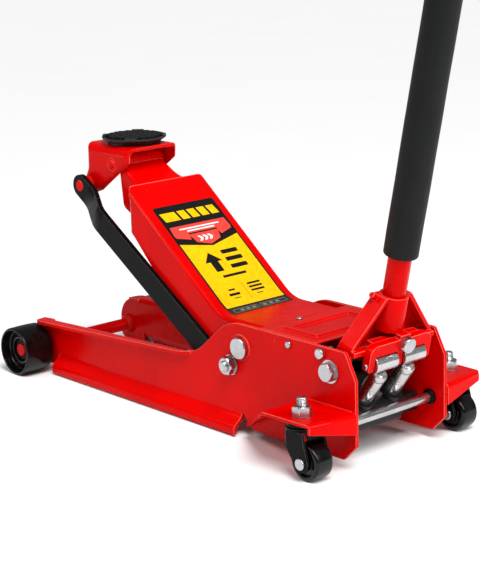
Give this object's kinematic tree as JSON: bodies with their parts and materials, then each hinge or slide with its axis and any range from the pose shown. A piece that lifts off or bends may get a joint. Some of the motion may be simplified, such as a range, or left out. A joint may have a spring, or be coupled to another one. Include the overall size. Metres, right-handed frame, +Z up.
{
  "type": "trolley jack",
  "caption": "Hydraulic trolley jack with a channel-section lift arm, parallel links, swivelling saddle, pump yoke with rollers, casters and a long sleeved handle.",
  "frame": {"origin": "on the floor under the middle of the jack's length at rest, handle included", "axes": "+X forwards to the saddle and front wheels, +Y to the jack's left, +Z up"},
  "size_m": [0.9556, 0.336, 1.1585],
  "materials": {
    "red_paint": "glossy powder coat",
    "black_paint": "satin",
    "black_cast_iron": "painted cast texture",
    "black_nylon": "moulded, semi-gloss",
    "bright_zinc": "bright zinc plate",
    "ground_steel": "ground bright",
    "rubber": "matte",
    "foam": "matte closed-cell foam"
  },
  "bodies": {
    "frame": {"left_side_plate": "red_paint", "right_side_plate": "red_paint", "left_caster_wing": "red_paint", "right_caster_wing": "red_paint", "front_axle": "red_paint", "front_axle_clips": "black_paint", "rear_tie_rod": "bright_zinc", "tie_rod_bushes": "black_paint", "main_pivot_pin": "bright_zinc", "frame_studs": "bright_zinc", "frame_stud_nuts": "bright_zinc", "yoke_pivot_bolts": "bright_zinc", "stop_pins": "bright_zinc", "cover_plate": "red_paint", "cover_screws": "bright_zinc", "cross_plate": "red_paint", "pump_block": "black_cast_iron", "ram_cylinder": "ground_steel", "reservoir_shell": "black_paint", "filler_plug": "rubber", "plunger_wipers": "rubber", "caster_cups": "black_paint", "caster_studs": "bright_zinc", "caster_nuts": "bright_zinc"},
    "lift_arm": {"arm_shell": "red_paint", "arm_pivot_tube": "red_paint", "arm_crank": "red_paint"},
    "saddle_bracket": {"saddle_bracket": "red_paint", "tip_pin": "red_paint", "link_top_pins": "red_paint"},
    "saddle": {"saddle_cup": "black_cast_iron", "saddle_pad": "rubber", "saddle_ring": "ground_steel"},
    "left_link": {"left_link": "black_paint"},
    "right_link": {"right_link": "black_paint"},
    "left_front_wheel": {"left_front_wheel": "black_nylon"},
    "right_front_wheel": {"right_front_wheel": "black_nylon"},
    "left_caster_fork": {"left_caster_fork": "black_paint", "left_caster_axle": "bright_zinc"},
    "right_caster_fork": {"right_caster_fork": "black_paint", "right_caster_axle": "bright_zinc"},
    "left_caster_wheel": {"left_caster_wheel": "black_nylon"},
    "right_caster_wheel": {"right_caster_wheel": "black_nylon"},
    "ram": {"ram": "ground_steel"},
    "release_valve": {"release_valve": "bright_zinc"},
    "left_plunger": {"left_plunger": "ground_steel"},
    "right_plunger": {"right_plunger": "ground_steel"},
    "handle_yoke": {"yoke_shell": "red_paint", "handle_socket": "red_paint", "handle_lock_screw": "red_paint", "roller_carrier": "red_paint", "roller_shaft": "bright_zinc", "carrier_bolt": "bright_zinc"},
    "left_roller": {"left_roller": "ground_steel"},
    "right_roller": {"right_roller": "ground_steel"},
    "handle": {"handle_lower_tube": "red_paint", "handle_upper_tube": "red_paint", "foam_sleeve": "foam", "handle_grip": "rubber"},
    "spring_button": {"spring_button": "bright_zinc"}
  },
  "joints": [
    {"name": "arm_lift", "type": "hinge", "parent": "frame", "child": "lift_arm", "pos_m": [-0.04051, 0, 0.128], "axis": [0, -1, 0], "range_deg": [-43.02, 35.68]},
    {"name": "bracket_level", "type": "hinge", "parent": "lift_arm", "child": "saddle_bracket", "pos_m": [0.29109, 0, 0.3417], "axis": [0, -1, 0], "range_deg": [-36.18, 43.52]},
    {"name": "saddle_swivel", "type": "hinge", "parent": "saddle_bracket", "child": "saddle", "pos_m": [0.29509, 0, 0.3717], "axis": [0, 0, 1], "continuous": true},
    {"name": "left_link_swing", "type": "hinge", "parent": "frame", "child": "left_link", "pos_m": [0.02049, 0.0765, 0.09], "axis": [0, -1, 0], "range_deg": [-43.52, 36.18]},
    {"name": "left_front_wheel_roll", "type": "hinge", "parent": "frame", "child": "left_front_wheel", "pos_m": [0.43949, 0.12, 0.0383], "axis": [0, 1, 0], "continuous": true},
    {"name": "left_caster_swivel", "type": "hinge", "parent": "frame", "child": "left_caster_fork", "pos_m": [-0.21951, 0.141, 0.068], "axis": [0, 0, 1], "continuous": true},
    {"name": "left_caster_roll", "type": "hinge", "parent": "left_caster_fork", "child": "left_caster_wheel", "pos_m": [-0.23651, 0.141, 0.026], "axis": [0, 1, 0], "continuous": true},
    {"name": "left_roller_spin", "type": "hinge", "parent": "handle_yoke", "child": "left_roller", "pos_m": [-0.25389, 0.0265, 0.13789], "axis": [0, 1, 0], "continuous": true},
    {"name": "left_plunger_slide", "type": "slide", "parent": "frame", "child": "left_plunger", "axis": [0.6, 0, -0.8], "range_m": [-0.0019, 0.0325]},
    {"name": "right_link_swing", "type": "hinge", "parent": "frame", "child": "right_link", "pos_m": [0.02049, -0.0765, 0.09], "axis": [0, -1, 0], "range_deg": [-43.52, 36.18]},
    {"name": "right_front_wheel_roll", "type": "hinge", "parent": "frame", "child": "right_front_wheel", "pos_m": [0.43949, -0.12, 0.0383], "axis": [0, 1, 0], "continuous": true},
    {"name": "right_caster_swivel", "type": "hinge", "parent": "frame", "child": "right_caster_fork", "pos_m": [-0.21951, -0.141, 0.068], "axis": [0, 0, 1], "continuous": true},
    {"name": "right_caster_roll", "type": "hinge", "parent": "right_caster_fork", "child": "right_caster_wheel", "pos_m": [-0.23651, -0.141, 0.026], "axis": [0, 1, 0], "continuous": true},
    {"name": "right_roller_spin", "type": "hinge", "parent": "handle_yoke", "child": "right_roller", "pos_m": [-0.25389, -0.0265, 0.13789], "axis": [0, 1, 0], "continuous": true},
    {"name": "right_plunger_slide", "type": "slide", "parent": "frame", "child": "right_plunger", "axis": [0.6, 0, -0.8], "range_m": [-0.0019, 0.0325]},
    {"name": "ram_slide", "type": "slide", "parent": "frame", "child": "ram", "axis": [1, 0, 0], "range_m": [-0.04209, 0.035]},
    {"name": "yoke_pump", "type": "hinge", "parent": "frame", "child": "handle_yoke", "pos_m": [-0.21851, 0, 0.131], "axis": [0, -1, 0], "range_deg": [-3, 55]},
    {"name": "handle_twist", "type": "hinge", "parent": "handle_yoke", "child": "handle", "pos_m": [-0.24544, 0, 0.20181], "axis": [-0.2198, 0, 0.9755], "range_deg": [-5, 120]},
    {"name": "valve_turn", "type": "hinge", "parent": "frame", "child": "release_valve", "pos_m": [-0.21431, 0, 0.076], "axis": [-0.6, 0, 0.8], "range_deg": [-6, 121]},
    {"name": "button_press", "type": "slide", "parent": "handle", "child": "spring_button", "axis": [0.9755, 0, 0.2198], "range_m": [0, 0.0025], "stiffness_N_per_m": 800}
  ],
  "couplings": [
    {"joint": "bracket_level", "follows": "arm_lift", "ratio": -1},
    {"joint": "left_link_swing", "follows": "arm_lift", "ratio": 1},
    {"joint": "right_link_swing", "follows": "arm_lift", "ratio": 1},
    {"joint": "ram_slide", "follows": "arm_lift", "m_per_rad": 0.05539},
    {"joint": "left_plunger_slide", "follows": "yoke_pump", "m_per_rad": 0.0325},
    {"joint": "right_plunger_slide", "follows": "yoke_pump", "m_per_rad": 0.0325},
    {"joint": "valve_turn", "follows": "handle_twist", "ratio": 1}
  ]
}
